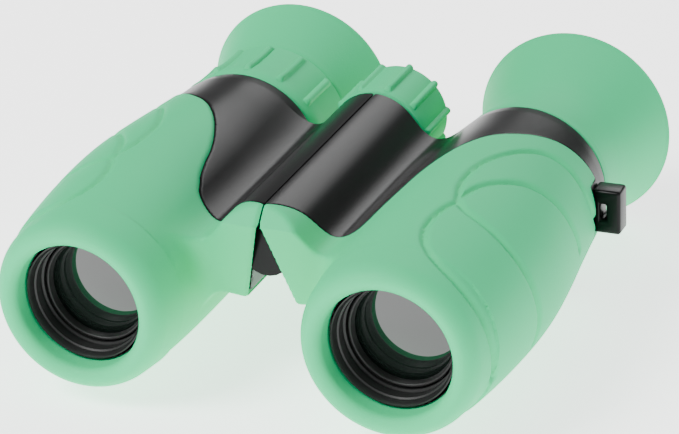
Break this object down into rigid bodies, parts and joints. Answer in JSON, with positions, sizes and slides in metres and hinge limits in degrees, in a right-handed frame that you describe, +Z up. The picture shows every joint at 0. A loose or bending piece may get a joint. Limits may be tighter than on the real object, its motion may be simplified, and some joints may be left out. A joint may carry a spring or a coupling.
{
  "type": "compact binoculars",
  "caption": "Compact roof-prism binoculars: a centre hinge joins rubber-armoured barrels, with a ribbed focus wheel, soft eyecups, a dioptre ring and strap lugs",
  "frame": {"origin": "middle of the bounding box, on the plane of the two barrel axes and midway between them", "axes": "X across the barrels with the user's left barrel at +X, Y from objectives to eyepieces, Z up through the hinge crest"},
  "size_m": [0.1, 0.1024, 0.0388],
  "materials": {
    "green_rubber": "matt",
    "black_plastic": "satin",
    "matt_black": "matt",
    "coated_glass": "polished",
    "plated_steel": "satin",
    "brass": "machined"
  },
  "bodies": {
    "left_barrel": {"front_hinge_pin": "plated_steel", "front_hinge_washer": "brass", "hinge_front_cap": "black_plastic", "hinge_rear_collar": "black_plastic", "left_barrel_housing": "black_plastic", "left_bridge_cover": "black_plastic", "left_eye_lens": "coated_glass", "left_eye_lens_retainer": "matt_black", "left_eyecup": "green_rubber", "left_field_lens": "coated_glass", "left_field_stop": "matt_black", "left_front_prism": "coated_glass", "left_ocular_tube": "matt_black", "left_prism_holder": "matt_black", "left_roof_prism": "coated_glass", "left_rubber_armour": "green_rubber", "left_strap_lug": "black_plastic", "rear_hinge_sleeve": "plated_steel", "rear_hinge_washer": "brass"},
    "right_barrel": {"right_barrel_housing": "black_plastic", "right_bridge_cover": "black_plastic", "right_front_prism": "coated_glass", "right_prism_holder": "matt_black", "right_roof_prism": "coated_glass", "right_rubber_armour": "green_rubber", "right_strap_lug": "black_plastic"},
    "focus_wheel": {"focus_knob": "green_rubber", "focus_knob_hub": "black_plastic", "focus_knob_screw": "plated_steel", "focus_screw": "plated_steel"},
    "focus_nut": {"focus_nut": "brass"},
    "left_objective": {"left_focus_arm": "plated_steel", "left_objective_cell": "matt_black", "left_objective_crown_lens": "coated_glass", "left_objective_flint_lens": "coated_glass", "left_objective_retainer": "matt_black"},
    "right_objective": {"right_focus_arm": "plated_steel", "right_objective_cell": "matt_black", "right_objective_crown_lens": "coated_glass", "right_objective_flint_lens": "coated_glass", "right_objective_retainer": "matt_black"},
    "dioptre": {"dioptre_ring": "green_rubber", "right_eyecup": "green_rubber"},
    "right_ocular": {"right_eye_lens": "coated_glass", "right_eye_lens_retainer": "matt_black", "right_field_lens": "coated_glass", "right_field_stop": "matt_black", "right_ocular_tube": "matt_black"}
  },
  "joints": [
    {"name": "fold", "type": "hinge", "parent": "left_barrel", "child": "right_barrel", "pos_m": [0, 0, 0.007], "axis": [0, -1, 0], "range_deg": [0, 40]},
    {"name": "focus_turn", "type": "hinge", "parent": "left_barrel", "child": "focus_wheel", "pos_m": [0, 0, 0.007], "axis": [0, 1, 0], "range_deg": [-270, 270]},
    {"name": "nut_slide", "type": "slide", "parent": "left_barrel", "child": "focus_nut", "axis": [0, 1, 0], "range_m": [-0.0015, 0.0015]},
    {"name": "left_objective_slide", "type": "slide", "parent": "left_barrel", "child": "left_objective", "axis": [0, 1, 0], "range_m": [-0.0015, 0.0015]},
    {"name": "right_objective_slide", "type": "slide", "parent": "right_barrel", "child": "right_objective", "axis": [0, 1, 0], "range_m": [-0.0015, 0.0015]},
    {"name": "dioptre_turn", "type": "hinge", "parent": "right_barrel", "child": "dioptre", "pos_m": [-0.029, 0, 0], "axis": [0, 1, 0], "range_deg": [-45, 45]},
    {"name": "right_ocular_slide", "type": "slide", "parent": "right_barrel", "child": "right_ocular", "axis": [0, 1, 0], "range_m": [-0.0008, 0.0008]}
  ],
  "couplings": [
    {"joint": "nut_slide", "follows": "focus_turn", "m_per_rad": 0.0003},
    {"joint": "left_objective_slide", "follows": "focus_turn", "m_per_rad": 0.0003},
    {"joint": "right_objective_slide", "follows": "focus_turn", "m_per_rad": 0.0003},
    {"joint": "right_ocular_slide", "follows": "dioptre_turn", "m_per_rad": 0.001}
  ]
}
